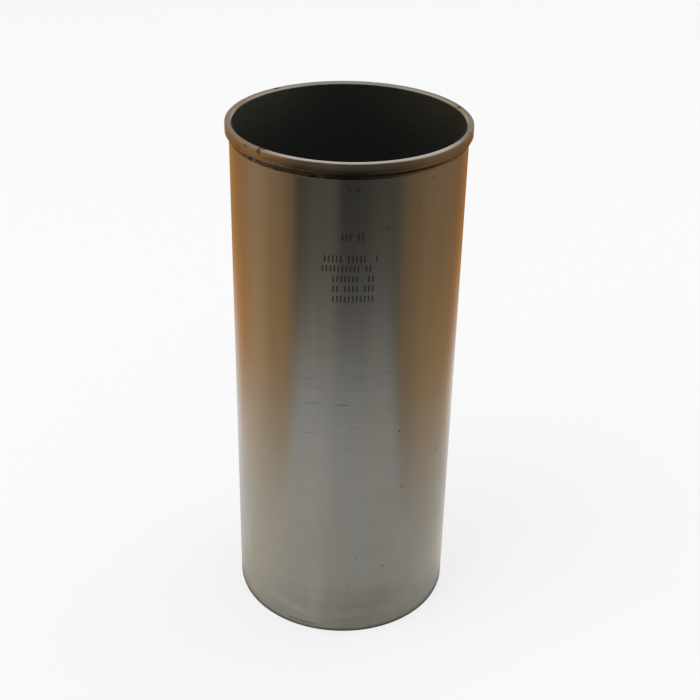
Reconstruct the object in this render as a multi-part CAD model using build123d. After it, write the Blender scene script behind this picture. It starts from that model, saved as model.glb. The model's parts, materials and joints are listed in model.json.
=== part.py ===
"""Dry cylinder liner for a piston engine: one cast iron sleeve, bored, turned and ground all over.

Millimetres, +Z up along the bore. The origin is the centre of the lower end face, so the liner
stands on that face with its location flange at the top.
"""

import os
from math import radians, tan

from build123d import *

# Sleeve
bore_diameter = 91.49          # finished and honed
wall_thickness = 1.155         # from the bore to the ground outside
overall_length = 220.0         # lower end face to gasket face

# Location flange, which sits on the step of the block's counterbore
flange_overhang = 1.55         # beyond the ground outside, on the radius
flange_height = 4.0
flange_top_chamfer = 0.3       # outer edge of the gasket face
flange_foot_chamfer = 0.15     # outer edge of the seating face

# Grinding relief under the flange, which lets the seating face meet the step squarely
relief_width = 2.5             # along the axis, from the seating face to the full diameter
relief_depth = 0.25            # below the ground outside, and the radius of the corner at its root
relief_ramp_angle = 45.0       # its lower flank, in degrees from the axis

# Lower end, which enters the block first
pilot_length = 12.0            # reduced length that starts the liner in the parent bore
pilot_relief = 0.05            # below the ground outside, on the radius
lead_in_height = 0.8           # taper at the very foot
lead_in_angle = 15.0           # of that taper and of the pilot's upper shoulder, from the axis

# Edges of the bore
mouth_chamfer = 0.65           # 45 degrees, guides the piston rings in
tail_chamfer = 0.35            # 45 degrees

# Radii and heights that follow
lead_in_slope = tan(radians(lead_in_angle))
relief_slope = tan(radians(relief_ramp_angle))

bore_radius = bore_diameter / 2
body_radius = bore_radius + wall_thickness
flange_radius = body_radius + flange_overhang
relief_radius = body_radius - relief_depth
pilot_radius = body_radius - pilot_relief
foot_radius = pilot_radius - lead_in_height * lead_in_slope

seating_face = overall_length - flange_height
relief_foot = seating_face - relief_width
relief_floor_foot = relief_foot + relief_depth / relief_slope
relief_floor_top = seating_face - relief_depth
pilot_shoulder_foot = pilot_length - pilot_relief / lead_in_slope


def inner_edge():
    """Bore wall with its two chamfers, from the gasket face down to the foot."""
    return Polyline(
        (bore_radius + mouth_chamfer, overall_length),
        (bore_radius, overall_length - mouth_chamfer),
        (bore_radius, tail_chamfer),
        (bore_radius + tail_chamfer, 0),
    )


def outer_edge():
    """Foot, lead-in, pilot and ground body, from the bore's tail up to the relief's floor."""
    return Polyline(
        (bore_radius + tail_chamfer, 0),
        (foot_radius, 0),
        (pilot_radius, lead_in_height),
        (pilot_radius, pilot_shoulder_foot),
        (body_radius, pilot_length),
        (body_radius, relief_foot),
        (relief_radius, relief_floor_foot),
        (relief_radius, relief_floor_top),
    )


def relief_corner():
    """Rounded root between the relief's floor and the seating face."""
    return RadiusArc(
        (relief_radius, relief_floor_top),
        (body_radius, seating_face),
        relief_depth,
    )


def flange_edge():
    """Seating face, flange rim and gasket face, round to the mouth of the bore."""
    return Polyline(
        (body_radius, seating_face),
        (flange_radius - flange_foot_chamfer, seating_face),
        (flange_radius, seating_face + flange_foot_chamfer),
        (flange_radius, overall_length - flange_top_chamfer),
        (flange_radius - flange_top_chamfer, overall_length),
        (bore_radius + mouth_chamfer, overall_length),
    )


def cylinder_liner():
    """The sleeve as one turned solid, its half section revolved about the bore's axis."""
    with BuildPart() as sleeve:
        with BuildSketch(Plane.XZ):
            with BuildLine():
                inner_edge()
                outer_edge()
                relief_corner()
                flange_edge()
            make_face()
        revolve(axis=Axis.Z)
    return sleeve.part


os.makedirs("parts", exist_ok=True)
export_step(cylinder_liner(), "parts/cylinder_liner.step")
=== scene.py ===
"""Finish of a dry cylinder liner: ground, turned and honed iron with a little rust.

The liner stands on its lower end. Sizes here are in millimetres and degrees and go to metres as
they are used. Azimuth is counted from the -Y side towards +X, seen from above.
"""

import json
from math import atan2, cos, degrees, hypot, pi, radians, sin, tan

import bpy
from mathutils import Matrix, Vector, noise


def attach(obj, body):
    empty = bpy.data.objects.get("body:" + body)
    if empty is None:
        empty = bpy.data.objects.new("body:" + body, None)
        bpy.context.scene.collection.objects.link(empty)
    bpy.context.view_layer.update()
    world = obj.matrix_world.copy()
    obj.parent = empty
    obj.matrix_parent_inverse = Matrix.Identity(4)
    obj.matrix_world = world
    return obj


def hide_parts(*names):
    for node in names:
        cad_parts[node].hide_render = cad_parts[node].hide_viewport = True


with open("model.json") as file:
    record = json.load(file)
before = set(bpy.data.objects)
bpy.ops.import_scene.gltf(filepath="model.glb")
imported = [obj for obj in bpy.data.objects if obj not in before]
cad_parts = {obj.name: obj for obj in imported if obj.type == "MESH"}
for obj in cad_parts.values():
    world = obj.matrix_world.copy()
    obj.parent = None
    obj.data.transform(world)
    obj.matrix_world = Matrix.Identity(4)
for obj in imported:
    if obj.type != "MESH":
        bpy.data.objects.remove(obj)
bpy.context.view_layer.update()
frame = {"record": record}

MM = 0.001


def mount(name):
    """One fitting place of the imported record."""
    return next(m for m in frame["record"]["mounts"] if m["name"] == name)


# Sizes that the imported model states
BORE_RADIUS = mount("bore")["dims"]["r_mm"]
BODY_RADIUS = mount("body_outside")["dims"]["r_mm"]
FLANGE_RADIUS = mount("flange_rim")["dims"]["r_mm"]
SEATING_FACE = mount("flange_seat")["pos_m"][2] / MM
LENGTH = mount("gasket_face")["pos_m"][2] / MM

# Sizes of the edges and of the relief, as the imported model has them
MOUTH_CHAMFER = 0.65
TAIL_CHAMFER = 0.35
FLANGE_TOP_CHAMFER = 0.3
FLANGE_FOOT_CHAMFER = 0.15
RELIEF_WIDTH = 2.5
RELIEF_DEPTH = 0.25
RELIEF_RAMP = radians(45)
PILOT_LENGTH = 12.0
PILOT_RELIEF = 0.05
LEAD_IN_HEIGHT = 0.8
LEAD_IN_SLOPE = tan(radians(15))

RELIEF_FOOT = SEATING_FACE - RELIEF_WIDTH
# Fine rings of the mesh start this far below it
FINE_RINGS_BELOW_RELIEF = 1.2


# ------------ shape of the sleeve


def rounded(before, corner, after, radius, steps=4):
    """Points of the small arc that breaks one corner of the section."""
    to_before = (Vector(before) - Vector(corner)).normalized()
    to_after = (Vector(after) - Vector(corner)).normalized()
    half_angle = to_before.angle(to_after) / 2
    reach = radius / tan(half_angle)
    centre = Vector(corner) + (to_before + to_after).normalized() * radius / sin(half_angle)
    start = Vector(corner) + to_before * reach - centre
    end = Vector(corner) + to_after * reach - centre
    return [centre + start.slerp(end, i / steps).normalized() * radius for i in range(steps + 1)]


def section():
    """Half section as (corner, edge radius, finish up to the next corner, longest step)."""
    relief_floor_foot = RELIEF_FOOT + RELIEF_DEPTH / tan(RELIEF_RAMP)
    pilot_radius = BODY_RADIUS - PILOT_RELIEF
    relief_radius = BODY_RADIUS - RELIEF_DEPTH
    foot_radius = pilot_radius - LEAD_IN_HEIGHT * LEAD_IN_SLOPE
    rim_foot = SEATING_FACE + FLANGE_FOOT_CHAMFER
    rim_top = LENGTH - FLANGE_TOP_CHAMFER
    return [
        ((BORE_RADIUS + TAIL_CHAMFER, 0), 0.05, "turned_pilot", 1),
        ((foot_radius, 0), 0.06, "turned_pilot", 1),
        ((pilot_radius, LEAD_IN_HEIGHT), 0.15, "turned_pilot", 4),
        ((pilot_radius, PILOT_LENGTH - PILOT_RELIEF / LEAD_IN_SLOPE), 0.1, "turned_pilot", 1),
        ((BODY_RADIUS, PILOT_LENGTH), 0.1, "ground_body", 24),
        ((BODY_RADIUS, RELIEF_FOOT - FINE_RINGS_BELOW_RELIEF), 0, "ground_body", 0.3),
        ((BODY_RADIUS, RELIEF_FOOT), 0.1, "relief", 0.2),
        ((relief_radius, relief_floor_foot), 0.1, "relief", 0.28),
        ((relief_radius, SEATING_FACE), RELIEF_DEPTH, "relief", 0.7),
        ((FLANGE_RADIUS - FLANGE_FOOT_CHAMFER, SEATING_FACE), 0.03, "turned_flange", 1),
        ((FLANGE_RADIUS, rim_foot), 0.08, "turned_flange", 0.6),
        ((FLANGE_RADIUS, rim_top), 0.12, "turned_flange", 1),
        ((FLANGE_RADIUS - FLANGE_TOP_CHAMFER, LENGTH), 0.1, "faced_top", 0.3),
        ((BORE_RADIUS + MOUTH_CHAMFER, LENGTH), 0.06, "turned_edges", 0.3),
        ((BORE_RADIUS, LENGTH - MOUTH_CHAMFER), 0.08, "honed_bore", 24),
        ((BORE_RADIUS, TAIL_CHAMFER), 0.05, "turned_edges", 1),
    ]


def rings():
    """Every ring of the mesh as (radius, height, finish of the strip above it)."""
    corners = section()
    arcs = []
    for i, (corner, radius, _, _) in enumerate(corners):
        before, after = corners[i - 1][0], corners[(i + 1) % len(corners)][0]
        arcs.append(rounded(before, corner, after, radius) if radius else [Vector(corner)])
    made = []
    for i, (arc, (_, _, finish, step)) in enumerate(zip(arcs, corners)):
        made += [(p.x, p.y, finish) for p in arc]
        run = arcs[(i + 1) % len(arcs)][0] - arc[-1]
        parts = int(run.length / step)
        made += [(*(arc[-1] + run * k / (parts + 1)), finish) for k in range(1, parts + 1)]
    return made


# Nicks in the top of the flange: azimuth, radius, half width round it, half width across it, depth
NICKS = (
    (-43.4, 47.2, 0.5, 1, 0.25),
    (-41.3, 46.9, 0.45, 0.8, 0.22),
    (-51.9, 48.4, 0.9, 0.35, 0.06),
    (73, 48, 0.7, 0.5, 0.16),
    (110.4, 46.7, 1.1, 0.8, 0.18),
    (-139.8, 47.2, 1.3, 0.9, 0.2),
    (168, 48.3, 1.4, 0.4, 0.1),
)
# Nicks reach this far down the rim, and rust this far below the relief
NICKED_HEIGHT = 1.2
RUST_BELOW_RELIEF = 0.6
# Thickest rust crust, and how much rust the finishes show for 1 mm of nick or for the full crust
RUST_PEAK = 0.16
NICK_RUST = 12
RELIEF_RUST = 2.2
# Columns of the mesh round the axis, and more of them over each nick
COLUMNS = 720
NICK_COLUMNS = 12


def azimuths():
    """Azimuths of the mesh's columns: even, with more of them at each nick."""
    gap = 360 / COLUMNS
    even = [-180 + 360 * k / COLUMNS for k in range(COLUMNS)]
    fine = []
    for at, radius, half_width, _, _ in NICKS:
        reach = degrees(half_width / radius) * 1.5
        fine += [at - reach + 2 * reach * k / NICK_COLUMNS for k in range(NICK_COLUMNS + 1)]
    # No slivers between two that nearly meet
    kept = [a for a in fine if min(abs(a - b) for b in even) > gap * 0.15]
    return sorted(even + kept)


def nick_depth(azimuth, radius):
    """How far the nicks lower the flange's top at one place, in millimetres."""
    depth = 0.0
    for at, nick_radius, half_width, half_depth, deep in NICKS:
        across = radians(azimuth - at) * nick_radius / half_width
        along = (radius - nick_radius) / half_depth
        depth = max(depth, deep * max(0.0, 1 - hypot(across, along) ** 1.5))
    return depth


def rust_share(azimuth):
    """How rusty the relief is at one azimuth, from 0 to 1: worst on the front left."""
    worst = max(0.0, 1 - abs(azimuth + 40) / 34)
    wander = noise.noise(Vector((cos(radians(azimuth)) * 3, sin(radians(azimuth)) * 3, 7.0)))
    return min(1.0, max(0.0, worst * 1.3 + 0.15 + 0.5 * wander))


def rust_lift(azimuth, height):
    """Thickness of the rust crust in the relief and just below it, in millimetres."""
    into = (height - RELIEF_FOOT) / RELIEF_WIDTH
    cover = max(0.0, min(1.0, into * 3 + 0.6)) * max(0.0, min(1.0, (1.05 - into) * 4))
    if cover == 0:
        return 0.0
    x, y = cos(radians(azimuth)) * BODY_RADIUS, sin(radians(azimuth)) * BODY_RADIUS
    lumps = noise.fractal(Vector((x, y, height)) * 0.55, 1.0, 2.0, 3) * 0.5 + 0.45
    return RUST_PEAK * cover * max(0.0, lumps) * rust_share(azimuth)


def on_the_rim(radius, height):
    """Whether nicks can reach this far."""
    return height > LENGTH - NICKED_HEIGHT and radius > BORE_RADIUS + 0.01


def at_the_relief(radius, height, beyond):
    """Whether a point is beside the relief, between just inside its floor and beyond the body."""
    beside = RELIEF_FOOT - RUST_BELOW_RELIEF < height < SEATING_FACE
    return beside and BODY_RADIUS - 0.3 < radius < BODY_RADIUS + beyond


def placed(azimuth, radius, height):
    """One vertex in metres, with its nick or rust."""
    if on_the_rim(radius, height):
        height -= nick_depth(azimuth, radius)
    if at_the_relief(radius, height, 0.02):
        radius += rust_lift(azimuth, height)
    a = radians(azimuth)
    return (radius * sin(a) * MM, -radius * cos(a) * MM, height * MM)


def sleeve_mesh():
    """The sleeve as one closed mesh, with its unrolled map."""
    turned, columns = rings(), azimuths()
    finishes = [make.__name__ for make in FINISHES]
    count, width = len(turned), len(columns)
    points = [placed(a, r, z) for r, z, _ in turned for a in columns]
    faces, slots, corners_uv = [], [], []
    run = [0.0]
    for i in range(count):
        r0, z0, _ = turned[i]
        r1, z1, _ = turned[(i + 1) % count]
        run.append(run[-1] + hypot(r1 - r0, z1 - z0))
    for i in range(count):
        for k in range(width):
            near, far = i * width, (i + 1) % count * width
            after = (k + 1) % width
            faces.append((near + k, near + after, far + after, far + k))
            slots.append(finishes.index(turned[i][2]))
            u0, u1 = (columns[k] + 180) / 360, (columns[after] + 180) / 360 if after else 1.0
            v0, v1 = run[i] / run[-1], run[i + 1] / run[-1]
            corners_uv += [(u0, v0), (u1, v0), (u1, v1), (u0, v1)]
    mesh = bpy.data.meshes.new("cylinder_liner_dressed")
    mesh.from_pydata(points, [], faces)
    mesh.polygons.foreach_set("material_index", slots)
    unrolled = mesh.uv_layers.new(name="OFBake")
    unrolled.data.foreach_set("uv", [c for uv in corners_uv for c in uv])
    mesh.shade_smooth()
    mesh.update()
    return mesh


def store_rust(mesh):
    """Keeps the amount of rust at each vertex for the finishes to read."""
    amounts = []
    for vertex in mesh.vertices:
        x, y, z = (c / MM for c in vertex.co)
        radius, azimuth = hypot(x, y), degrees(atan2(x, -y))
        amount = 0.0
        if on_the_rim(radius, z):
            amount = min(1.0, nick_depth(azimuth, radius) * NICK_RUST)
        elif at_the_relief(radius, z, 0.2):
            amount = min(1.0, rust_lift(azimuth, z) / RUST_PEAK * RELIEF_RUST)
        amounts.append(amount)
    mesh.attributes.new("rust", "FLOAT", "POINT").data.foreach_set("value", amounts)


# ------------ node helpers


class Tree:
    """One node tree; every input takes either a socket or a plain value."""

    def __init__(self, nodes):
        self.nodes, self.links = nodes.nodes, nodes.links
        self.nodes.clear()

    def add(self, kind, inputs=None, **settings):
        node = self.nodes.new(kind)
        for name, value in settings.items():
            setattr(node, name, value)
        for name, value in (inputs or {}).items():
            self.join(node.inputs[name], value)
        return node

    def join(self, socket, value):
        if isinstance(value, bpy.types.NodeSocket):
            self.links.new(value, socket)
        else:
            socket.default_value = value

    def maths(self, operation, *values, clamp=False):
        inputs = dict(enumerate(values))
        return self.add("ShaderNodeMath", inputs, operation=operation, use_clamp=clamp).outputs[0]

    def times(self, one, other):
        return self.maths("MULTIPLY", one, other)

    def over(self, one, other):
        return self.maths("DIVIDE", one, other)

    def plus(self, one, other):
        return self.maths("ADD", one, other)

    def minus(self, one, other):
        return self.maths("SUBTRACT", one, other)

    def scaled(self, value, factor, added):
        return self.maths("MULTIPLY_ADD", value, factor, added)

    def vector(self, operation, inputs):
        return self.add("ShaderNodeVectorMath", inputs, operation=operation).outputs[0]

    def parts(self, vector):
        """The separate X, Y and Z of a vector."""
        return self.add("ShaderNodeSeparateXYZ", {0: vector}).outputs

    def point(self, x, y, z):
        return self.add("ShaderNodeCombineXYZ", {"X": x, "Y": y, "Z": z}).outputs[0]

    def length(self, one, other):
        """Length of the slope over two sides at right angles."""
        squares = (self.maths("POWER", side, 2) for side in (one, other))
        return self.maths("SQRT", self.plus(*squares))

    def polar(self, parts):
        """Radius and azimuth of a point about the liner's axis."""
        turn = self.maths("ARCTAN2", parts["X"], self.times(parts["Y"], -1))
        return self.length(parts["X"], parts["Y"]), self.maths("DEGREES", turn)

    def highest(self, values):
        """The highest of several values at each point."""
        total = values[0]
        for value in values[1:]:
            total = self.maths("MAXIMUM", total, value)
        return total

    def smooth(self, value, start, end, low=0, high=1):
        """Soft step of a value between two limits."""
        inputs = {"Value": value, "From Min": start, "From Max": end, "To Min": low, "To Max": high}
        return self.add("ShaderNodeMapRange", inputs, interpolation_type="SMOOTHSTEP").outputs["Result"]

    def between(self, value, start, full, fade, end):
        """Soft step up between start and full, and down again between fade and end."""
        return self.times(self.smooth(value, start, full), self.smooth(value, end, fade))

    def mix(self, amount, under, over):
        """Colour over colour."""
        node = self.add("ShaderNodeMix", data_type="RGBA")
        self.join(node.inputs["Factor"], amount)
        self.join(node.inputs[6], under)
        self.join(node.inputs[7], over)
        return node.outputs[2]

    def blend(self, amount, under, over):
        """Value over value."""
        return self.add("ShaderNodeMix", {0: amount, 2: under, 3: over}, data_type="FLOAT").outputs[0]

    def grain(self, where, scale, detail, roughness=0.5):
        """Plain noise, from 0 to 1."""
        inputs = {"Vector": where, "Scale": scale, "Detail": detail, "Roughness": roughness}
        return self.add("ShaderNodeTexNoise", inputs).outputs["Fac"]

    def group(self, effect, **values):
        """Places one of the shared effects; spaces in its socket names are underscores here."""
        node = self.add("ShaderNodeGroup", node_tree=EFFECTS[effect])
        for name, value in values.items():
            self.join(node.inputs[name.replace("_", " ")], value)
        return node.outputs


# Kinds of the effects' sockets that aren't plain values
SOCKET_KINDS = {"Position": "Vector", "Place": "Vector", "Colour": "Color"}


class Effect(Tree):
    """A shared effect, empty at first, with its inputs' values and its outputs' names."""

    def __init__(self, name, takes, gives):
        self.made = bpy.data.node_groups.new(name, "ShaderNodeTree")
        for title, value in takes.items():
            socket = self.socket(title, "INPUT")
            if value is not None:
                socket.default_value = value
        for title in gives:
            self.socket(title, "OUTPUT")
        super().__init__(self.made)
        self.given = self.add("NodeGroupInput").outputs
        self.out = self.add("NodeGroupOutput").inputs

    def socket(self, title, side):
        """Makes one input or output."""
        kind = "NodeSocket" + SOCKET_KINDS.get(title, "Float")
        return self.made.interface.new_socket(title, in_out=side, socket_type=kind)

    def give(self, **values):
        """Joins the outputs; spaces in their names are underscores here."""
        for name, value in values.items():
            self.join(self.out[name.replace("_", " ")], value)
        return self.made


def new_material(name):
    """An empty material and its node tree."""
    material = bpy.data.materials.new(name)
    material.use_nodes = True
    return material, Tree(material.node_tree)


def grey(value):
    """A colour without a hue."""
    return (value, value, value, 1)


# ------------ shared effects


def place_on_liner():
    """Millimetres and degrees of a point: height, radius, azimuth, and way along the section."""
    gives = ("Place", "Height", "Radius", "Azimuth", "Along Section")
    t = Effect("place on liner", {"Position": None}, gives)
    place = t.vector("SCALE", {0: t.given["Position"], "Scale": 1 / MM})
    parts = t.parts(place)
    radius, azimuth = t.polar(parts)
    # Neither a wall, a flat end nor a 45 degree chamfer lies along this sum, so lines cross them all
    along = t.scaled(radius, 0.6, parts["Z"])
    return t.give(Place=place, Height=parts["Z"], Radius=radius, Azimuth=azimuth, Along_Section=along)


def tool_lines():
    """Fine lines that a lathe or a grinding wheel leaves round the axis."""
    takes = {"Place": None, "Along Section": 0, "Spacing": 0.4, "Length": 60, "Seed": 0}
    t = Effect("tool lines", takes, ("Height", "Tone"))
    given, parts = t.given, t.parts(t.given["Place"])
    x, y = (t.over(parts[name], given["Length"]) for name in "XY")
    across = t.plus(t.over(given["Along Section"], given["Spacing"]), given["Seed"])
    where = t.point(x, y, across)
    tone = t.smooth(t.grain(where, 0.31, 1), 0.3, 0.7)
    return t.give(Height=t.grain(where, 1, 3, 0.6), Tone=tone)


def patches():
    """Large soft clouds, for a film of oil or a tarnish that isn't even."""
    t = Effect("patches", {"Place": None, "Size": 30, "Stretch": 1, "Seed": 0}, ("Mask",))
    given = t.given
    where = t.vector("MULTIPLY", {0: given["Place"], 1: t.point(1, 1, given["Stretch"])})
    moved = t.vector("ADD", {0: where, 1: given["Seed"]})
    clouds = t.grain(moved, t.over(1, given["Size"]), 3, 0.55)
    return t.give(Mask=t.smooth(clouds, 0.32, 0.68))


def spot():
    """One dot, scratch or stain at a stated place, its edge made ragged by a given value."""
    takes = dict.fromkeys(("Around", "Across", "At Around", "At Across", "Lean", "Rag"), 0)
    t = Effect("spot", takes | {"Half Length": 1, "Half Width": 1}, ("Mask",))
    given = t.given
    sideways = t.minus(given["Around"], given["At Around"])
    rise = t.minus(given["Across"], given["At Across"])
    level = t.scaled(sideways, t.times(given["Lean"], -1), rise)
    away = t.length(t.over(sideways, given["Half Length"]), t.over(level, given["Half Width"]))
    return t.give(Mask=t.smooth(t.plus(away, given["Rag"]), 1.35, 0.55))


def rust():
    """Iron rust: its colour, where it lies for a given amount, and its crust."""
    takes = {"Place": None, "Amount": 0, "Freshness": 0.3}
    t = Effect("rust", takes, ("Mask", "Colour", "Crust"))
    given = t.given
    fine = t.grain(given["Place"], 1.6, 4, 0.65)
    coarse = t.grain(given["Place"], 0.35, 3, 0.6)
    edge = t.scaled(fine, 0.35, t.times(coarse, 0.35))
    reach = t.plus(given["Amount"], t.minus(edge, 0.35))
    old = t.mix(t.smooth(fine, 0.35, 0.7), RUST_DARK, RUST_BROWN)
    fresh = t.mix(t.smooth(coarse, 0.3, 0.7), RUST_BROWN, RUST_ORANGE)
    colour = t.mix(given["Freshness"], old, fresh)
    return t.give(Mask=t.smooth(reach, 0.42, 0.62), Colour=colour, Crust=fine)


def pits():
    """Sparse dark specks, where graphite or an inclusion has torn out."""
    t = Effect("pits", {"Place": None, "Spacing": 12, "Size": 0.3, "Share": 0.4}, ("Mask",))
    given = t.given
    inputs = {"Vector": given["Place"], "Scale": t.over(1, given["Spacing"])}
    cells = t.add("ShaderNodeTexVoronoi", inputs, feature="F1").outputs
    chosen = t.maths("LESS_THAN", t.parts(cells["Color"])["X"], given["Share"])
    reach = t.over(t.times(cells["Distance"], given["Spacing"]), given["Size"])
    return t.give(Mask=t.times(t.smooth(reach, 1.2, 0.6), chosen))


def hone_hatch():
    """The two crossing sets of helical lines that a hone leaves in a bore."""
    takes = {"Height": 0, "Azimuth": 0, "Angle": 24, "Spacing": 1.1}
    t = Effect("hone hatch", takes, ("Lines",))
    given = t.given
    lead = t.maths("TANGENT", t.maths("RADIANS", given["Angle"]))
    # One turn of the helix climbs by this much, and each set of lines repeats with it
    climb = t.times(lead, 2 * pi * BORE_RADIUS)
    circle = t.over(climb, t.times(given["Spacing"], 2 * pi))
    sets = []
    for hand in (1, -1):
        risen = t.times(t.over(given["Azimuth"], 360.0 * hand), climb)
        phase = t.times(t.over(t.plus(given["Height"], risen), climb), 2 * pi)
        x, y = (t.times(t.maths(wave, phase), circle) for wave in ("COSINE", "SINE"))
        where = t.point(x, y, t.scaled(given["Height"], 0.015, 9.0 * hand))
        sets.append(t.smooth(t.grain(where, 1, 2, 0.6), 0.35, 0.65))
    return t.give(Lines=t.times(t.plus(*sets), 0.5))


def tally_row():
    """One row of short upright ticks, evenly pitched with some left out."""
    takes = dict.fromkeys(("Around", "Height", "From", "Foot"), 0)
    t = Effect("tally row", takes | {"To": 1, "Top": 1, "Pitch": 1.5}, ("Mask",))
    given = t.given
    count = t.over(t.minus(given["Around"], given["From"]), given["Pitch"])
    row = t.plus(t.maths("FLOOR", count), given["Foot"])
    lot = t.add("ShaderNodeTexWhiteNoise", {"W": row}, noise_dimensions="1D").outputs[0]
    kept = t.maths("GREATER_THAN", lot, 0.22)
    from_middle = t.maths("ABSOLUTE", t.minus(t.maths("FRACT", count), 0.5))
    tick = t.times(t.smooth(from_middle, 0.3, 0.12), kept)
    begun = t.maths("GREATER_THAN", count, 0)
    wide = t.times(begun, t.maths("LESS_THAN", given["Around"], given["To"]))
    above = t.smooth(t.minus(given["Height"], given["Foot"]), -0.1, 0.2)
    below = t.smooth(t.minus(given["Top"], given["Height"]), -0.1, 0.2)
    return t.give(Mask=t.times(t.times(tick, wide), t.times(above, below)))


# ------------ finishes of the iron

# Linear colours
IRON_CLEAN = (0.36, 0.35, 0.325, 1)
IRON_FILM_AND_REFLECTION = (0.37, 0.315, 0.25, 1)
IRON_FOOT = (0.36, 0.34, 0.285, 1)
# A darker, yellower tone round the lower end
IRON_DARKER_FOOT = (0.27, 0.245, 0.185, 1)
IRON_PALE = (0.42, 0.385, 0.305, 1)
IRON_WARM = (0.37, 0.33, 0.27, 1)
IRON_COOL = (0.33, 0.34, 0.32, 1)
IRON_MOTTLED = (0.33, 0.31, 0.28, 1)
IRON_DULLER = (0.322, 0.303, 0.268, 1)
# Painted reflections on the flange's top: a highlight in front, brown at the sides, dull behind
LAND_PAINTED_HIGHLIGHT = (0.49, 0.43, 0.385, 1)
LAND_PAINTED_SIDE_REFLECTION = (0.155, 0.092, 0.03, 1)
LAND_PAINTED_BACK_REFLECTION = (0.15, 0.15, 0.122, 1)
# Grime and painted shade for the flange's rim and the relief under it
GRIME_AND_SHADE = (0.046, 0.029, 0.014, 1)
THIN_GRIME_AND_SHADE = (0.13, 0.085, 0.045, 1)
STAIN_BROWN = (0.1, 0.056, 0.026, 1)
STAIN_YELLOW = (0.42, 0.27, 0.12, 1)
MARK_DARK = (0.07, 0.062, 0.05, 1)
# The bore's iron darkened as painted shade, its painted sheen, and an edge tint darkened for the same
# shade
BORE_PAINTED_SHADE = (0.155, 0.168, 0.152, 1)
BORE_PAINTED_SHEEN = (0.2, 0.23, 0.215, 1)
BORE_GLANCE = (0.44, 0.465, 0.435, 1)
HATCH_PALE = grey(0.26)
LINE_DARK = grey(0.12)
PIT_BLACK = (0.02, 0.016, 0.012, 1)
RUST_DARK = (0.01, 0.006, 0.003, 1)
RUST_BROWN = (0.029, 0.017, 0.007, 1)
RUST_ORANGE = (0.25, 0.13, 0.055, 1)
RUST_ROUGHNESS = 0.85

# Heights between which the yellowish film of preservative oil thickens towards the flange; its warmth
# there is partly a painted reflection
FILM_FOOT, FILM_TOP = 115, 195.0

# Dots and stains on the ground body: azimuth, height, half length, half width, lean, strength
BODY_SPOTS = (
    (29, 102.5, 0.5, 0.5, 0, 0.8),
    (31.7, 74.2, 0.5, 0.45, 0, 0.8),
    (22.4, 34.7, 0.5, 0.5, 0, 0.8),
    (4.1, 26.1, 0.5, 0.4, 0, 0.45),
    (44, 116.9, 0.5, 0.5, 0, 0.35),
    (42.1, 210.2, 0.45, 0.45, 0, 0.6),
    (18.4, 194, 1.3, 0.35, 0, 0.6),
    (7.4, 41, 0.5, 1.2, 0, 0.22),
    (63.5, 92.8, 1.6, 1.1, 0, 0.22),
    (57.8, 83.7, 1.4, 1, 0, 0.2),
    (-19.2, 50.4, 0.8, 0.35, 0, 0.18),
    (131, 150, 0.6, 0.5, 0, 0.7),
    (-155, 88, 0.5, 0.5, 0, 0.8),
    (-98, 61, 0.6, 0.45, 0, 0.7),
    (101, 178, 1.2, 0.9, 0, 0.4),
    (163, 45, 0.5, 0.5, 0, 0.8),
)
# Pale yellowish smears of dry oil near the lower end, in the same terms
PALE_SMEARS = (
    (-29, 10, 12, 2.3, -0.2, 0.55),
    (-13.5, 20, 3.2, 18, 0, 0.34),
    (-62, 33, 2.6, 12, 0, 0.3),
    (55, 22, 9, 9, 0, 0.3),
    (-128, 18, 12, 3, 0.1, 0.5),
    (150, 16, 9, 2.5, -0.1, 0.5),
)
# Light scratches from handling, in the same terms
SCRATCHES = (
    (-4.4, 159.4, 1.2, 0.2, 0, 0.35),
    (14, 159.4, 3.2, 0.2, 0, 0.3),
    (8.1, 148.5, 2.7, 0.2, 0, 0.3),
    (18.9, 134.9, 4.2, 0.2, -0.166, 0.35),
    (7.5, 130.6, 2.2, 0.2, -0.05, 0.35),
    (11.2, 131.2, 8.9, 0.18, -0.096, 0.2),
    (20.5, 132.2, 1.4, 0.22, 0.1, 0.35),
    (-17.2, 129.1, 2.5, 0.2, 0.2, 0.3),
    (-14.4, 125, 2.7, 0.2, 0.17, 0.3),
    (-15.6, 117.8, 2.9, 0.25, 0.19, 0.4),
    (-0.5, 118.1, 3, 0.25, 0, 0.5),
    (0.5, 115, 2.2, 0.2, 0.1, 0.2),
    (4.8, 107.3, 2.4, 0.2, 0, 0.3),
    (-16.9, 103.7, 2.4, 0.2, 0.21, 0.3),
    (2.8, 96.7, 1.8, 0.2, 0, 0.3),
    (9.3, 86.5, 1.7, 0.2, 0, 0.3),
    (140, 120, 5, 0.2, 0.12, 0.4),
    (-120, 140, 4, 0.2, -0.1, 0.4),
    (175, 70, 3, 0.2, 0.2, 0.4),
)
PILOT_SCRATCHES = (
    (-20.7, 3, 7.3, 0.5, 0, 0.5),
    (35, 5, 2, 0.3, 0, 0.4),
)
# Rows of plain ticks on the front, under the flange: azimuth from and to, foot and top of each row
TALLY = (
    (-0.3, 6.4, 208.8, 210.3),
    (-3.1, 8.8, 189.4, 192.4),
    (-11, 14, 180.5, 183.4),
    (-12, 13, 176.6, 179.3),
    (-7, 13, 172.4, 175.1),
    (-7, 13, 168.2, 171),
    (-7, 13, 163.9, 166.7),
)
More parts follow.
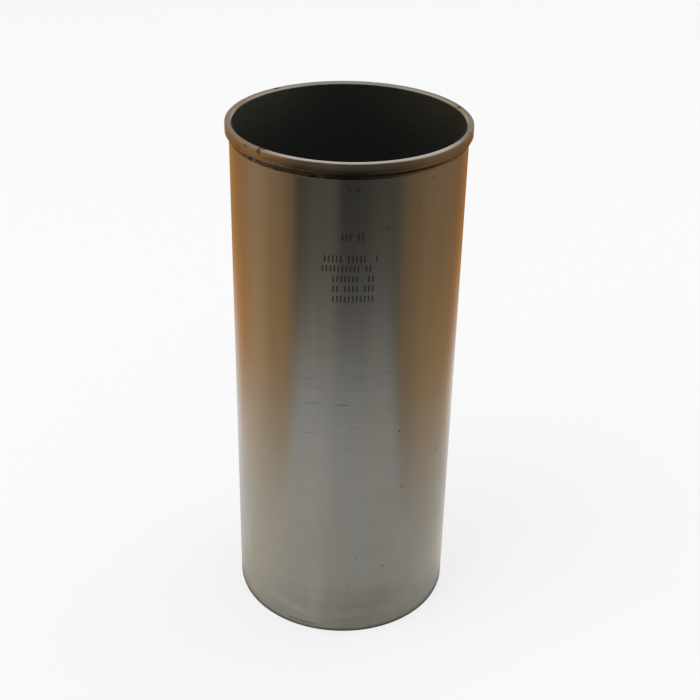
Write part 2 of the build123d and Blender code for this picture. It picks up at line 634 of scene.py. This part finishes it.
# Stains on the land and the rim of the flange: azimuth, radius or height, and as above
LAND_STAINS = (
    (-43.9, 47, 1, 0.75, 1.4, 1),
    (-41.7, 47, 1, 0.75, -1.3, 1),
    (-42.8, 48.1, 0.9, 0.6, 0, 1),
    (-139.8, 47.1, 2.4, 1.1, 0, 1),
    (-128, 47.6, 4.5, 0.6, 0, 0.45),
    (110.4, 47.1, 3, 1.3, 0, 1),
    (72.9, 47.7, 1, 0.5, 0, 0.8),
    (169, 48, 4, 0.3, 0, 0.5),
    (-60, 46.8, 2, 0.3, 0, 0.4),
    (146, 47.9, 2, 0.3, 0, 0.5),
)
RIM_STAINS = (
    (-51.9, 219.3, 1.5, 0.5, 0, 0.45),
    (-42.9, 219.3, 1.2, 0.9, 0, 0.9),
    (-58, 217.4, 2.2, 0.8, 0, 0.28),
    (-36, 217.8, 4, 0.7, 0.1, 0.3),
    (-24, 217.2, 4.4, 0.6, 0, 0.25),
    (34, 217.6, 2.6, 0.4, 0, 0.3),
    (73, 219, 1.4, 0.7, 0, 0.7),
)

SHARED = (place_on_liner, tool_lines, patches, spot, rust, pits, hone_hatch, tally_row)
EFFECTS = {make.__name__: make() for make in SHARED}


class Iron:
    """One finish of the sleeve, with what every finish starts from."""

    def __init__(self, name, roughness, anisotropy):
        self.material, self.t = new_material(name)
        t = self.t
        position = t.add("ShaderNodeTexCoord").outputs["Object"]
        self.at = t.group("place_on_liner", Position=position)
        self.place, self.height, self.azimuth = self.at["Place"], self.at["Height"], self.at["Azimuth"]
        self.shader = t.add(
            "ShaderNodeBsdfPrincipled",
            {
                "Metallic": 1,
                "Roughness": roughness,
                "Anisotropic": anisotropy,
                "Anisotropic Rotation": 0.25,
            },
        )
        round_axis = t.add("ShaderNodeTangent", direction_type="RADIAL", axis="Z").outputs[0]
        t.join(self.shader.inputs["Tangent"], round_axis)
        t.add("ShaderNodeOutputMaterial", {"Surface": self.shader.outputs[0]})
        self.colour = IRON_CLEAN
        self.roughness = roughness
        self.lift = None

    def around(self):
        """Millimetres round the body from the middle of the front."""
        return self.t.times(self.azimuth, radians(BODY_RADIUS))

    def front(self, inner, outer, middle=0):
        """1 about a middle azimuth, falling to 0 between two distances from it on either side."""
        away = self.t.maths("ABSOLUTE", self.t.minus(self.azimuth, middle))
        return self.t.smooth(away, outer, inner)

    def clouds(self, size, stretch, seed):
        """Large soft clouds; the smaller the stretch, the longer they are along the axis."""
        return self.t.group("patches", Place=self.place, Size=size, Stretch=stretch, Seed=seed)["Mask"]

    def ring_lines(self, spacing, length, seed):
        """Height and tone of the fine lines round the axis."""
        return self.t.group(
            "tool_lines",
            Place=self.place,
            Along_Section=self.at["Along Section"],
            Spacing=spacing,
            Length=length,
            Seed=seed,
        )

    def crust(self):
        """How much of the modelled rust crust or nick lies at a point."""
        return self.t.add("ShaderNodeAttribute", attribute_name="rust").outputs["Fac"]

    def raise_by(self, height, depth):
        """Adds a height, given as millimetres for a value of 1."""
        high = self.t.times(height, depth)
        self.lift = high if self.lift is None else self.t.plus(self.lift, high)

    def cover(self, mask, colour, strength=1):
        """Lays a colour over the finish so far."""
        amount = mask if strength == 1 else self.t.times(mask, strength)
        self.colour = self.t.mix(amount, self.colour, colour)

    def lines(self, spacing, length, seed, tone, depth=0, rough=0):
        """Tool lines as relief, and as a slight change of tone and gloss."""
        made = self.ring_lines(spacing, length, seed)
        self.cover(made["Tone"], LINE_DARK, tone)
        if depth:
            self.raise_by(made["Height"], depth)
        if rough:
            self.roughness = self.t.scaled(made["Tone"], rough, self.roughness)

    def film(self):
        """The warm film over the clean iron, thicker towards the flange, where its warmth is partly a
        painted reflection; and the dull lower end.
        """
        t = self.t
        # Partly painted reflection: the warm tint grows towards the flange
        high = t.smooth(self.height, FILM_FOOT, FILM_TOP)
        thick = t.scaled(self.clouds(38, 0.35, 4), 0.35, 0.75)
        self.cover(t.times(thick, high), IRON_FILM_AND_REFLECTION)
        left = t.smooth(self.azimuth, 45, 5, 0.25)
        self.cover(t.times(t.smooth(self.height, 60, 10), left), IRON_FOOT)

    def blotches(self):
        """Faint warm and cool clouds, drawn out down the wall where oil was wiped off."""
        for size, stretch, seed, tint in (
            (16, 0.35, 9, IRON_WARM),
            (12, 0.25, 21, IRON_COOL),
            (5, 0.6, 17, IRON_MOTTLED),
        ):
            self.cover(self.clouds(size, stretch, seed), tint, 0.4)

    def streaks(self):
        """Narrow bands from wiping along the axis; the dull ones keep to the upper part."""
        t = self.t
        upper = t.smooth(self.height, 85, 150)
        for size, seed, tint, share in (
            (7, 13, IRON_WARM, 1),
            (5, 27, IRON_COOL, 1),
            (3.4, 41, IRON_DULLER, upper),
        ):
            self.cover(t.times(self.clouds(size, 0.035, seed), share), tint, 0.5)

    def darker_foot(self):
        """A darker, yellower tone round the lower end, most in the middle of the front and on the left.
        """
        t = self.t
        low = t.smooth(self.height, 34, 14)
        fine = t.scaled(self.clouds(9, 2.4, 31), 0.6, 0.4)
        wide = t.scaled(self.clouds(22, 1.2, 35), 0.5, 0.5)
        most = t.scaled(self.front(9, 27, 12), 0.55, 0.1)
        most = t.scaled(self.front(7, 24, -78), 0.75, most)
        self.cover(t.times(t.times(fine, wide), t.times(low, most)), IRON_DARKER_FOOT)

    def wiped_wall(self):
        """What the body and its lower end have in common."""
        self.film()
        self.blotches()
        self.streaks()
        self.darker_foot()

    def spots(self, places, across, colour, ragged=0.5):
        """Small marks as (azimuth, place across, half length, half width, lean, strength)."""
        t = self.t
        around = self.around()
        rag = t.scaled(t.grain(self.place, 1.5, 3, 0.6), ragged * 2, -ragged)
        names = ("At_Around", "At_Across", "Half_Length", "Half_Width", "Lean")
        masks = []
        for azimuth, *rest, strength in places:
            stated = dict(zip(names, (radians(azimuth) * BODY_RADIUS, *rest)))
            made = t.group("spot", Around=around, Across=across, Rag=rag, **stated)
            masks.append(t.times(made["Mask"], strength))
        self.cover(t.highest(masks), colour)

    def tally(self, colour, strength):
        """The rows of plain ticks on the front."""
        t = self.t
        around = self.around()
        masks = []
        for start, end, foot, top in TALLY:
            ends = {"From": radians(start) * BODY_RADIUS, "To": radians(end) * BODY_RADIUS}
            row = t.group("tally_row", Around=around, Height=self.height, Foot=foot, Top=top, **ends)
            masks.append(row["Mask"])
        self.cover(t.highest(masks), colour, strength)

    def add_rust(self, freshness):
        """Lays rust where the crust or a nick is modelled; rust is dull and no metal."""
        t = self.t
        made = t.group("rust", Place=self.place, Amount=self.crust(), Freshness=freshness)
        self.cover(made["Mask"], made["Colour"])
        self.roughness = t.blend(made["Mask"], self.roughness, RUST_ROUGHNESS)
        self.raise_by(t.times(made["Mask"], made["Crust"]), 0.05)
        t.join(self.shader.inputs["Metallic"], t.minus(1, made["Mask"]))

    def done(self):
        """Joins the layers to the shader."""
        t = self.t
        t.join(self.shader.inputs["Base Color"], self.colour)
        t.join(self.shader.inputs["Roughness"], self.roughness)
        bump = t.add("ShaderNodeBump", {"Height": self.lift, "Distance": MM, "Strength": 1})
        t.join(self.shader.inputs["Normal"], bump.outputs[0])
        return self.material


def honed_bore():
    """The bore: iron darkened as painted shade, with a painted sheen near the mouth at the back left
    and the crossing lines of the hone.
    """
    iron = Iron("honed_bore", roughness=0.58, anisotropy=0)
    t = iron.t
    hatch = t.group("hone_hatch", Height=iron.height, Azimuth=iron.azimuth)["Lines"]
    # Painted shade: the bore's iron is darker than the rest of the liner
    iron.colour = BORE_PAINTED_SHADE
    # Painted sheen near the mouth at the back left
    sheen_near_mouth = t.smooth(iron.height, 196, 219)
    iron.cover(t.times(sheen_near_mouth, iron.front(12, 45, -125)), BORE_PAINTED_SHEEN)
    iron.cover(hatch, HATCH_PALE, 0.35)
    # Painted shade: a darker edge tint dims the bore's glancing reflections
    iron.shader.inputs["Specular Tint"].default_value = BORE_GLANCE
    iron.raise_by(hatch, 0.001)
    return iron.done()


def turned_edges():
    """The chamfers at both ends of the bore."""
    iron = Iron("turned_edges", roughness=0.3, anisotropy=0.3)
    iron.film()
    iron.lines(spacing=0.12, length=60, seed=11, depth=0.002, tone=0.2)
    iron.add_rust(0.2)
    return iron.done()


def faced_top():
    """The flange's top, with dark stains; painted reflections make it bright in front, brown at the
    sides and dull behind.
    """
    iron = Iron("faced_top", roughness=0.3, anisotropy=0.3)
    t = iron.t
    # Painted reflection: a highlight in front, brown at the sides and dull behind
    iron.colour = t.mix(iron.front(34, 60, 11), LAND_PAINTED_SIDE_REFLECTION, LAND_PAINTED_HIGHLIGHT)
    iron.cover(t.smooth(t.maths("ABSOLUTE", iron.azimuth), 112, 142), LAND_PAINTED_BACK_REFLECTION)
    iron.lines(spacing=0.4, length=80, seed=3, depth=0.0012, tone=0.2, rough=0.06)
    iron.spots(LAND_STAINS, iron.at["Radius"], STAIN_BROWN)
    iron.add_rust(0.2)
    return iron.done()


def turned_flange():
    """The flange's rim, with yellow stains on the left, grime and painted shade on its lower part, most
    in front, and painted shade in the corner under it.
    """
    iron = Iron("turned_flange", roughness=0.3, anisotropy=0.6)
    t = iron.t
    iron.film()
    iron.lines(spacing=0.35, length=90, seed=5, depth=0.003, tone=0.3, rough=0.1)
    clouds = iron.clouds(7, 1, 2)
    iron.cover(t.times(clouds, iron.front(18, 40, -55)), STAIN_YELLOW, 0.35)
    # Grime and painted shade: darker towards the rim's lower edge, most in front
    low = t.smooth(iron.height, LENGTH - 0.6, SEATING_FACE + 0.5)
    worst = t.scaled(iron.front(15, 42, -2), 0.55, 0.25)
    worst = t.scaled(iron.front(70, 120), 0.12, worst)
    uneven = t.times(worst, t.scaled(clouds, 0.2, 0.85))
    iron.cover(t.times(low, uneven), THIN_GRIME_AND_SHADE)
    # Painted shade in the corner under the rim, in front
    corner = t.smooth(iron.height, SEATING_FACE + 1.6, SEATING_FACE)
    iron.cover(t.times(corner, iron.front(5, 16)), GRIME_AND_SHADE, 0.7)
    iron.spots(RIM_STAINS, iron.height, STAIN_BROWN)
    iron.add_rust(0.2)
    return iron.done()


def relief():
    """The relief under the flange: grime and painted shade from the flange all round, darkest in front
    and in its corner.
    """
    iron = Iron("relief", roughness=0.4, anisotropy=0.3)
    t = iron.t
    iron.film()
    iron.lines(spacing=0.25, length=90, seed=6, depth=0.003, tone=0.3)
    # Grime and painted shade from the flange: darker in front, less of it low down at the front right
    front = iron.front(16, 46, -6)
    below = t.smooth(iron.height, SEATING_FACE - 1.5, SEATING_FACE - 2.4)
    wiped = t.times(below, iron.front(16, 34, 36))
    grime_and_shade = t.scaled(iron.clouds(6, 1, 6), 0.22, t.blend(front, 0.52, 0.76))
    grime_and_shade = t.times(grime_and_shade, t.scaled(wiped, -0.6, 1))
    iron.cover(grime_and_shade, t.mix(front, THIN_GRIME_AND_SHADE, GRIME_AND_SHADE))
    # Painted shade in the corner under the flange
    corner = t.smooth(iron.height, SEATING_FACE - 2.1, SEATING_FACE - 1.5)
    iron.cover(t.times(corner, iron.front(20, 40, 20)), GRIME_AND_SHADE, 0.85)
    iron.shader.inputs["Specular IOR Level"].default_value = 0.2
    iron.add_rust(t.scaled(front, -0.5, 0.55))
    return iron.done()


def ground_body():
    """The body: ground bright, with its ticks, dots, scratches and a few pits."""
    iron = Iron("ground_body", roughness=0.21, anisotropy=0.8)
    t = iron.t
    iron.wiped_wall()
    iron.lines(spacing=0.5, length=120, seed=1, depth=0.0001, tone=0.026, rough=0.01)
    iron.lines(spacing=2.2, length=60, seed=31, tone=0.019)
    turned = iron.ring_lines(spacing=0.8, length=40, seed=8)["Tone"]
    band = t.times(t.smooth(iron.height, 27, 19), iron.front(14, 40, 2))
    iron.cover(t.times(turned, band), MARK_DARK, 0.14)
    iron.spots(PALE_SMEARS, iron.height, IRON_PALE, ragged=0.8)
    iron.tally(MARK_DARK, 0.8)
    iron.spots(SCRATCHES, iron.height, MARK_DARK, ragged=0.3)
    iron.spots(BODY_SPOTS, iron.height, MARK_DARK)
    specks = t.group("pits", Place=iron.place, Spacing=9, Size=0.2, Share=0.3)["Mask"]
    iron.cover(specks, PIT_BLACK, 0.35)
    iron.add_rust(0.1)
    return iron.done()


def turned_pilot():
    """The lower end, turned a little smaller than the body."""
    iron = Iron("turned_pilot", roughness=0.26, anisotropy=0.7)
    iron.wiped_wall()
    iron.lines(spacing=0.7, length=90, seed=2, depth=0.0003, tone=0.04, rough=0.02)
    iron.spots(PALE_SMEARS, iron.height, IRON_PALE, ragged=0.8)
    iron.spots(PILOT_SCRATCHES, iron.height, MARK_DARK)
    return iron.done()


# The order of the mesh's material slots
FINISHES = (honed_bore, turned_edges, faced_top, turned_flange, relief, ground_body, turned_pilot)


def dressed_sleeve():
    """The sleeve with its finishes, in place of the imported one."""
    mesh = sleeve_mesh()
    sleeve = bpy.data.objects.new("cylinder_liner_dressed", mesh)
    bpy.context.scene.collection.objects.link(sleeve)
    for make in FINISHES:
        mesh.materials.append(make())
    store_rust(mesh)
    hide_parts("cylinder_liner")
    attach(sleeve, "root")


# ------------ studio

# The stage is in metres
FLOOR_HALF = 4.0
FLOOR_WHITE = 0.86
SHADOW_SHARE = 0.3
ROOM_LIGHT = 0.75

# The lamps face this place inside the liner
LAMPS_FACE = (0, 0, 0.1)

# The camera's place, and how far it looks down, is turned to the right and leans
CAMERA_PLACE = (0, -0.46648, 0.38172)
LOOKS_DOWN, TURNED, LEANS = radians(29.6), radians(0.258), radians(1.197)
LENS, SENSOR = 64.26, 36.0

# The cards: the ground card starts this far under the liner's foot, in millimetres
GROUND_UNDER_FOOT = 0.24
GROUND_HEIGHT = 0.0001
BENCH_EDGE = 1.6
SIDE_HEIGHT = 1.1
BACK_HEIGHT = 0.4
CURTAIN_RADIUS = 1.0
CURTAIN_HEIGHT = 2.2

# The sheet's brightness halfway, how far it swings, and the azimuth where it is darkest
SHEET_MIDDLE, SHEET_SWING, SHEET_DARKEST = 0.82, 0.235, 22.0

CLOTH = (0.045, 0.046, 0.043, 1)
CLOTH_WORN = (0.15, 0.138, 0.106, 1)
CLOTH_FOLD = (0.118, 0.1, 0.066, 1)
BENCH_SHADED = (0.44, 0.285, 0.155, 1)
BENCH_LEFT = (0.59, 0.41, 0.25, 1)
BENCH_RIGHT = (0.37, 0.25, 0.135, 1)
BENCH_FOLD = (0.395, 0.225, 0.107, 1)
BACK_LEFT = (0.59, 0.31, 0.125, 1)
BACK_RIGHT = (0.5, 0.25, 0.115, 1)
BACK_EDGE = (0.49, 0.225, 0.07, 1)
BEHIND = (0.3, 0.255, 0.2, 1)
SHEET_LEFT = (1, 0.96, 0.88, 1)
SHEET_RIGHT = (1, 0.965, 0.895, 1)
# These are factors on the colours of the bench
BENCH_BEYOND = (1, 1.04, 1.17, 1)
BACK_BEYOND = (1.02, 0.96, 0.78, 1)
BENCH_NEAR_LEFT = (1.35, 1.25, 1.05, 1)
BENCH_NEAR_RIGHT = (1.48, 1.42, 1.3, 1)


def seen_directly(t):
    """1 for what the camera, a reflection or glass shows, 0 for what only lights the liner."""
    ray = t.add("ShaderNodeLightPath").outputs
    direct = t.plus(ray["Is Camera Ray"], ray["Is Glossy Ray"])
    return t.maths("ADD", direct, ray["Is Transmission Ray"], clamp=True)


def stage_piece(name, points, faces):
    """One piece of the stage."""
    mesh = bpy.data.meshes.new(name)
    mesh.from_pydata(points, [], faces)
    made = bpy.data.objects.new(name, mesh)
    bpy.context.scene.collection.objects.link(made)
    return made


def pale_floor():
    """A floor that shows white, with only part of the shadow that falls on it."""
    edge = FLOOR_HALF
    corners = [(-edge, -edge, 0), (edge, -edge, 0), (edge, edge, 0), (-edge, edge, 0)]
    floor = stage_piece("floor", corners, [(0, 1, 2, 3)])
    material, t = new_material("pale_floor")
    lit = t.add("ShaderNodeBsdfDiffuse", {"Color": grey(FLOOR_WHITE)}).outputs[0]
    white = t.add("ShaderNodeEmission", {"Color": grey(1), "Strength": 1}).outputs[0]
    share = t.times(seen_directly(t), 1 - SHADOW_SHARE)
    both = t.add("ShaderNodeMixShader", {0: share, 1: lit, 2: white}).outputs[0]
    t.add("ShaderNodeOutputMaterial", {"Surface": both})
    floor.data.materials.append(material)


def white_room():
    """A white room all round, a little darker as a light than as it shows."""
    world = bpy.data.worlds.new("white_room")
    bpy.context.scene.world = world
    world.use_nodes = True
    t = Tree(world.node_tree)
    strength = t.blend(seen_directly(t), ROOM_LIGHT, 1)
    back = t.add("ShaderNodeBackground", {"Color": grey(1), "Strength": strength}).outputs[0]
    t.add("ShaderNodeOutputWorld", {"Surface": back})


def soft_lamp(name, place, size, watts):
    """A square lamp that the iron doesn't mirror."""
    light = bpy.data.lights.new(name, "AREA")
    light.shape, light.size, light.energy = "SQUARE", size, watts
    lamp = bpy.data.objects.new(name, light)
    lamp.location = place
    lamp.rotation_mode = "QUATERNION"
    lamp.rotation_quaternion = (Vector(place) - Vector(LAMPS_FACE)).to_track_quat("Z", "Y")
    lamp.visible_glossy = False
    bpy.context.scene.collection.objects.link(lamp)


def strip(name, edges, start, end, steps):
    """A card between two azimuths and two edges, each a radius and a height in metres."""
    points = []
    for i in range(steps + 1):
        a = radians(start + (end - start) * i / steps)
        points += [(r * sin(a), -r * cos(a), z) for r, z in edges]
    faces = [(2 * i, 2 * i + 1, 2 * i + 3, 2 * i + 2) for i in range(steps)]
    made = stage_piece(name, points, faces)
    return made


def show_in_reflections(made, colour_of):
    """Makes a card show only in the iron, in a plain glowing colour for each place."""
    material, t = new_material(made.name)
    position = t.add("ShaderNodeTexCoord").outputs["Object"]
    colour = colour_of(t, *t.polar(t.parts(position)))
    glow = t.add("ShaderNodeEmission", {"Color": colour, "Strength": 1}).outputs[0]
    t.add("ShaderNodeOutputMaterial", {"Surface": glow})
    made.data.materials.append(material)
    made.visible_camera = made.visible_diffuse = made.visible_shadow = made.visible_transmission = False


def on_the_left(t, azimuth):
    """1 on the left of the liner, 0 on its right, changing over in front and behind."""
    return t.smooth(t.maths("SINE", t.maths("RADIANS", azimuth)), 0.3, -0.3)


def bench_all_round(t, azimuth):
    """A brown bench at both sides, more orange further round, and shade behind."""
    away = t.maths("ABSOLUTE", azimuth)
    left = t.mix(t.smooth(away, 66, 98), BENCH_SHADED, BENCH_LEFT)
    left = t.mix(t.smooth(away, 92, 124), left, BACK_LEFT)
    right = t.mix(t.smooth(away, 106, 140), BENCH_RIGHT, BACK_RIGHT)
    right = t.mix(t.between(away, 108, 122, 134, 144), right, BENCH_FOLD)
    right = t.mix(t.smooth(away, 141, 149), right, BACK_EDGE)
    bench = t.mix(on_the_left(t, azimuth), right, left)
    return t.mix(t.smooth(away, 158, 172), bench, BEHIND)


def far_colour(t, azimuth, early=0):
    """A dark cloth in front, worn paler on both sides of its middle, and the bench all round.

    The cloth's hems stand closer to its middle by early, in degrees.
    """
    worn = t.plus(t.smooth(azimuth, -4, -12), t.smooth(azimuth, 6, 44, 0, 0.75))
    cloth = t.mix(worn, CLOTH, CLOTH_WORN)
    fold = t.times(t.smooth(azimuth, -31, -40), 0.8)
    cloth = t.mix(fold, cloth, CLOTH_FOLD)
    bared = 0.0
    for hem, start, end, share in (
        (t.minus(azimuth, early), -45, -54, 0.7),
        (t.minus(azimuth, early), -54, -66, 0.3),
        (t.plus(azimuth, early), 42, 60, 0.62),
        (t.plus(azimuth, early), 66, 84, 0.38),
    ):
        bared = t.plus(bared, t.smooth(hem, start, end, 0, share))
    return t.mix(bared, cloth, bench_all_round(t, azimuth))


class Ground:
    """A pale sheet round the liner's foot, and the cloth and the bench beyond it."""

    def __init__(self, t, radius, azimuth):
        self.t, self.radius, self.azimuth = t, radius, azimuth
        self.away = t.maths("ABSOLUTE", azimuth)
        self.left = on_the_left(t, azimuth)
        self.side = t.smooth(self.away, 38.5, 60.5)
        self.back = t.smooth(self.away, 118, 150)
        self.left_back = t.times(self.left, t.smooth(self.away, 88, 124))

    def brightness(self):
        """How bright the sheet is at one place."""
        t, radius, azimuth, away, left = self.t, self.radius, self.azimuth, self.away, self.left
        # Painted shade: the sheet is darkest towards the front right
        turn = t.maths("RADIANS", t.minus(azimuth, SHEET_DARKEST))
        level = t.scaled(t.maths("COSINE", turn), -SHEET_SWING, SHEET_MIDDLE)
        # Painted shade of a crease in front on the left, and more light on that side
        crease_shade = t.between(azimuth, -28, -38, -46, -54)
        lifted = t.smooth(azimuth, -8, -20, 0, 0.032)
        level = t.plus(level, t.scaled(crease_shade, -0.03, lifted))
        # The liner's own shadow, dark at its foot and faint further out
        foot = BODY_RADIUS * MM
        level = t.times(level, t.smooth(radius, foot + 0.0003, foot + 0.0022, 0.25))
        level = t.times(level, t.smooth(radius, foot, foot + 0.03, 0.88))
        level = t.times(level, t.blend(self.left_back, 1, t.smooth(radius, 0.07, 0.17, 0.86)))
        # Shade beside and behind the liner; on the right, not next to it
        shaded = t.times(t.smooth(away, 60, 84), t.smooth(radius, 0.19, 0.1))
        shaded = t.times(shaded, t.blend(left, t.smooth(radius, 0.07, 0.105), 1))
        level = t.times(level, t.scaled(shaded, -0.075, 1))
        # A ring further out: paler behind on the right, darker on the left, and pale in front
        ring = t.between(radius, 0.15, 0.185, 0.22, 0.27)
        pale = t.times(t.blend(left, 0.15, -0.08), t.smooth(away, 104, 128))
        middle = t.times(t.smooth(radius, 0.1, 0.14), t.smooth(away, 44, 28, 0, 0.05))
        level = t.times(level, t.plus(t.scaled(pale, ring, 1), middle))
        # A brighter place next to the liner on the right
        clean = t.between(azimuth, 79, 91, 106, 122)
        clean = t.times(clean, t.smooth(radius, 0.078, 0.06, 0, 0.1))
        return t.times(level, t.plus(clean, 1))

    def sheet(self):
        """The sheet's colour: warmer at the sides than in front and behind."""
        t = self.t
        warm = t.blend(self.left, t.smooth(self.away, 60, 95), self.side)
        warm = t.times(warm, t.minus(1, t.maths("MAXIMUM", self.back, self.left_back)))
        tint = t.mix(warm, grey(1), t.mix(self.left, SHEET_RIGHT, SHEET_LEFT))
        return t.vector("SCALE", {0: tint, "Scale": self.brightness()})

    def beyond(self):
        """The cloth and the bench: brighter next to the sheet, bluer or yellower further out."""
        t, radius, away = self.t, self.radius, self.away
        behind = t.times(t.smooth(radius, 0.6, 0.85), t.smooth(away, 100, 130))
        early = t.smooth(radius, 0.42, 0.22, 0, 6)
        far = t.mix(behind, far_colour(t, self.azimuth, early), BEHIND)
        near = t.times(self.side, t.smooth(radius, 0.52, 0.22))
        lift = t.mix(near, grey(1), t.mix(self.left, BENCH_NEAR_RIGHT, BENCH_NEAR_LEFT))
        far = t.vector("MULTIPLY", {0: far, 1: lift})
        shift = t.mix(t.smooth(away, 116, 136), BENCH_BEYOND, BACK_BEYOND)
        further = t.times(t.between(radius, 0.4, 0.52, 0.65, 0.95), self.side)
        return t.vector("MULTIPLY", {0: far, 1: t.mix(further, grey(1), shift)})

    def past_the_sheet(self):
        """0 on the sheet and 1 beyond it: it ends nearest at the sides."""
        t, left = self.t, self.left
        front = (0.21, t.smooth(self.azimuth, 8, 30, 0.385, 0.402))
        sides = (t.blend(left, 0.075, 0.09), t.blend(left, 0.26, 0.285))
        behind = (t.blend(left, 0.13, 0.15), 0.39)
        ends = []
        for in_front, at_side, at_back in zip(front, sides, behind):
            ends.append(t.blend(self.back, t.blend(self.side, in_front, at_side), at_back))
        return t.smooth(self.radius, *ends)


def ground_colour(t, radius, azimuth):
    """The colour of the ground card at one place."""
    ground = Ground(t, radius, azimuth)
    return t.mix(ground.past_the_sheet(), ground.sheet(), ground.beyond())


def wall_colour(t, _, azimuth):
    """The walls go on where the ground card ends."""
    return far_colour(t, azimuth)


def curtain_colour(*_):
    """The curtain is of the dark cloth."""
    return CLOTH


def surroundings():
    """What the polished iron has to reflect, out of the camera's sight: glowing cards, no lamps, that
    paint in its reflections.
    """
    foot = (BODY_RADIUS - GROUND_UNDER_FOOT) * MM
    ground = ((foot, GROUND_HEIGHT), (BENCH_EDGE, GROUND_HEIGHT))
    side = ((BENCH_EDGE, SIDE_HEIGHT), (BENCH_EDGE, 0))
    back = ((BENCH_EDGE, BACK_HEIGHT), (BENCH_EDGE, 0))
    curtain = ((CURTAIN_RADIUS, CURTAIN_HEIGHT), (CURTAIN_RADIUS, 0))
    for name, edges, start, end, steps, colour_of in (
        ("ground_card", ground, -180, 180, 96, ground_colour),
        ("side_wall", side, 60, 150, 48, wall_colour),
        ("other_side_wall", side, -150, -60, 48, wall_colour),
        ("back_wall", back, 150, 210, 48, wall_colour),
        ("front_curtain", curtain, -62, 62, 48, curtain_colour),
    ):
        show_in_reflections(strip(name, edges, start, end, steps), colour_of)


def camera():
    """Stands in front of the liner and looks down at it."""
    lens = bpy.data.cameras.new("camera")
    lens.sensor_width, lens.lens = SENSOR, LENS
    lens.clip_start, lens.clip_end = 0.01, 100
    stand = bpy.data.objects.new("camera", lens)
    turn = Matrix.Rotation(-TURNED, 4, "Z")
    down = Matrix.Rotation(pi / 2 - LOOKS_DOWN, 4, "X")
    lean = Matrix.Rotation(LEANS, 4, "Z")
    stand.matrix_world = Matrix.Translation(CAMERA_PLACE) @ (turn @ down @ lean)
    bpy.context.scene.collection.objects.link(stand)
    bpy.context.scene.camera = stand


dressed_sleeve()
pale_floor()
white_room()
soft_lamp("key_lamp", place=(-0.9, -0.5, 1.5), size=1.2, watts=9)
soft_lamp("fill_lamp", place=(1, 0.6, 1.3), size=1.2, watts=4)
surroundings()
camera()
bpy.context.scene.view_settings.view_transform = "Standard"
